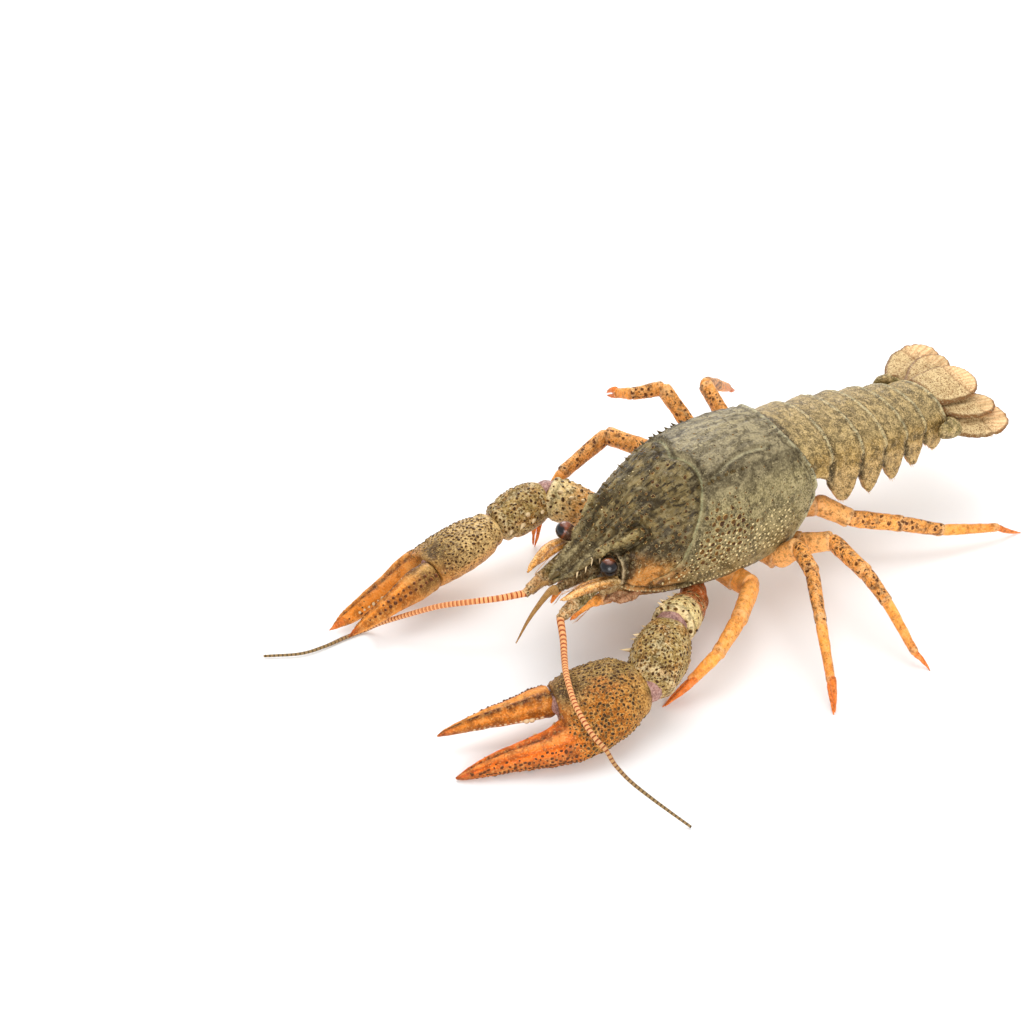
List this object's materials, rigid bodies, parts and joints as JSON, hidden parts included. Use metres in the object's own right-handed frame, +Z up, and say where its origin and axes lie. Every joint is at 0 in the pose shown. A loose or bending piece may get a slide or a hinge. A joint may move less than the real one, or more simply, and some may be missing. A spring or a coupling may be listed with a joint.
{
  "type": "crayfish",
  "caption": "Whole crayfish for the table, standing on its legs with its claws laid forward, its long feelers swept ahead and its tail stretched out behind.",
  "frame": {"origin": "the middle of the footprint, on the surface that the crayfish stands on", "axes": "-Y is the way the head points, +X is the animal's left side and +Z is up"},
  "size_m": [0.1018, 0.1696, 0.0406],
  "materials": {
    "carapace": "satin",
    "abdomen": "satin",
    "tail_fan": "satin",
    "claw": "satin",
    "arm": "satin",
    "leg": "satin",
    "eye": "glossy",
    "feeler": "satin",
    "scale": "satin",
    "jaw_leg": "satin",
    "swimmeret": "satin"
  },
  "bodies": {
    "root": {"cephalothorax": "carapace", "abdomen_1": "abdomen", "abdomen_2": "abdomen", "abdomen_3": "abdomen", "abdomen_4": "abdomen", "abdomen_5": "abdomen", "abdomen_6": "abdomen", "telson": "tail_fan", "tail_blade_left_inner": "tail_fan", "tail_blade_left_outer": "tail_fan", "tail_base_left": "abdomen", "leg_left_1": "leg", "leg_left_2": "leg", "leg_left_3": "leg", "leg_left_4": "leg", "claw_left_arm": "arm", "claw_left_wrist": "arm", "claw_left_palm": "claw", "claw_left_finger": "claw", "eye_left": "eye", "feeler_left": "feeler", "short_feeler_left": "feeler", "scale_left": "scale", "jaw_leg_left": "jaw_leg", "swimmeret_left_1": "swimmeret", "swimmeret_left_2": "swimmeret", "swimmeret_left_3": "swimmeret", "swimmeret_left_4": "swimmeret", "tail_blade_right_inner": "tail_fan", "tail_blade_right_outer": "tail_fan", "tail_base_right": "abdomen", "leg_right_1": "leg", "leg_right_2": "leg", "leg_right_3": "leg", "leg_right_4": "leg", "claw_right_arm": "arm", "claw_right_wrist": "arm", "claw_right_palm": "claw", "claw_right_finger": "claw", "eye_right": "eye", "feeler_right": "feeler", "short_feeler_right": "feeler", "scale_right": "scale", "jaw_leg_right": "jaw_leg", "swimmeret_right_1": "swimmeret", "swimmeret_right_2": "swimmeret", "swimmeret_right_3": "swimmeret", "swimmeret_right_4": "swimmeret"}
  },
  "joints": []
}
